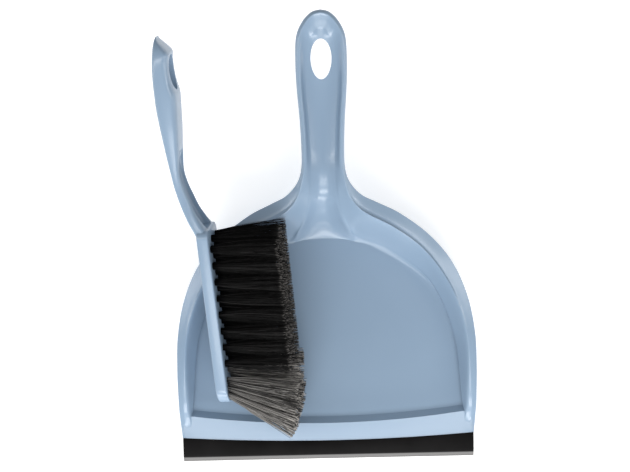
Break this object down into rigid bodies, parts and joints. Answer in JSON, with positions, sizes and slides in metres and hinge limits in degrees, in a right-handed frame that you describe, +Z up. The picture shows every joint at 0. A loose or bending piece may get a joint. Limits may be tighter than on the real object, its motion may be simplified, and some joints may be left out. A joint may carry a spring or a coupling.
{
  "type": "dust pan and brush set",
  "caption": "Moulded dust pan with a flexible lip and a channelled handle, and a matching hand brush with a fanned bristle toe lying across it.",
  "frame": {"origin": "on the pan's flat underside and its centre plane, 90 mm behind the lip's front edge", "axes": "+Z up, +Y from the lip towards the pan's handle, +X to the right seen from above with the handle up"},
  "size_m": [0.2284, 0.327, 0.0994],
  "materials": {
    "pan_plastic": "gloss moulded polypropylene, powder blue",
    "brush_plastic": "gloss moulded polypropylene, powder blue",
    "lip_rubber": "satin black rubber",
    "black_bristle": "fine black filament with flagged tips",
    "grey_bristle": "fine taupe-grey filament with flagged tips",
    "anchor_steel": "flat wire"
  },
  "bodies": {
    "pan": {"pan_body": "pan_plastic", "rubber_lip": "lip_rubber"},
    "brush": {"brush_body": "brush_plastic", "tuft_anchors": "anchor_steel", "tuft_a1": "black_bristle", "tuft_a2": "black_bristle", "tuft_a3": "black_bristle", "tuft_a4": "black_bristle", "tuft_a5": "black_bristle", "tuft_a6": "black_bristle", "tuft_a7": "black_bristle", "tuft_a8": "black_bristle", "tuft_b1": "black_bristle", "tuft_b2": "black_bristle", "tuft_b3": "black_bristle", "tuft_b4": "black_bristle", "tuft_b5": "black_bristle", "tuft_b6": "black_bristle", "tuft_b7": "black_bristle", "tuft_b8": "black_bristle", "tuft_c1": "black_bristle", "tuft_c2": "black_bristle", "tuft_c3": "black_bristle", "tuft_c4": "black_bristle", "tuft_c5": "black_bristle", "tuft_c6": "black_bristle", "tuft_c7": "black_bristle", "tuft_c8": "black_bristle", "tuft_d1": "black_bristle", "tuft_d2": "black_bristle", "tuft_d3": "black_bristle", "tuft_d4": "black_bristle", "tuft_d5": "black_bristle", "tuft_d6": "black_bristle", "tuft_d7": "black_bristle", "tuft_d8": "black_bristle", "toe_tuft_1": "grey_bristle", "toe_tuft_2": "grey_bristle", "toe_tuft_3": "grey_bristle", "toe_tuft_4": "grey_bristle", "toe_tuft_5": "grey_bristle", "toe_tuft_6": "grey_bristle", "toe_tuft_7": "grey_bristle", "toe_tuft_8": "grey_bristle", "toe_tuft_9": "grey_bristle", "toe_tuft_10": "grey_bristle", "toe_tuft_11": "grey_bristle", "toe_tuft_12": "grey_bristle"}
  },
  "joints": [
    {"name": "brush_lift", "type": "slide", "parent": "pan", "child": "brush", "axis": [0, 0, 1], "range_m": [0, 0.12]}
  ]
}
